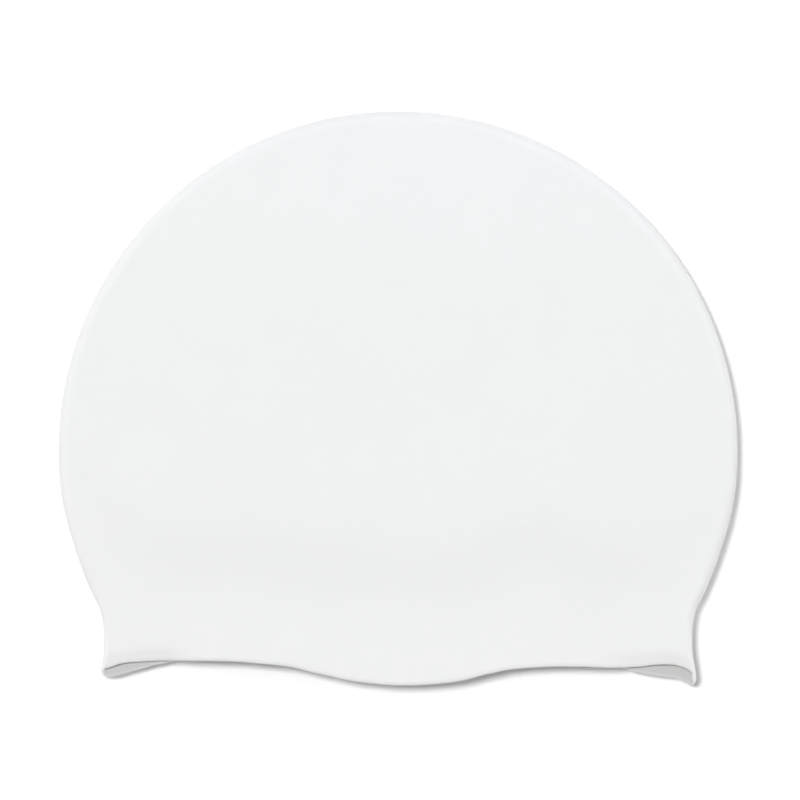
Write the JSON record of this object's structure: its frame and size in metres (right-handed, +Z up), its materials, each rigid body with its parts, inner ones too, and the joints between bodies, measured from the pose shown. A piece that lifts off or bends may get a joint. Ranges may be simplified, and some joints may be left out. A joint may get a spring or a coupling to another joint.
{
  "type": "swim cap",
  "caption": "Moulded silicone swim cap lying flat, a thin shell folded at its sides and crown, with a thicker wavy rim round its open mouth.",
  "frame": {"origin": "centre of the flat underside on which the cap lies", "axes": "+X along the cap's width, to the right with the crown at the top, +Y from the mouth to the crown, +Z up through the front wall"},
  "size_m": [0.225, 0.1903, 0.0104],
  "materials": {
    "white_silicone": "smooth satin moulded silicone rubber, white"
  },
  "bodies": {
    "root": {"cap_shell": "white_silicone"}
  },
  "joints": []
}
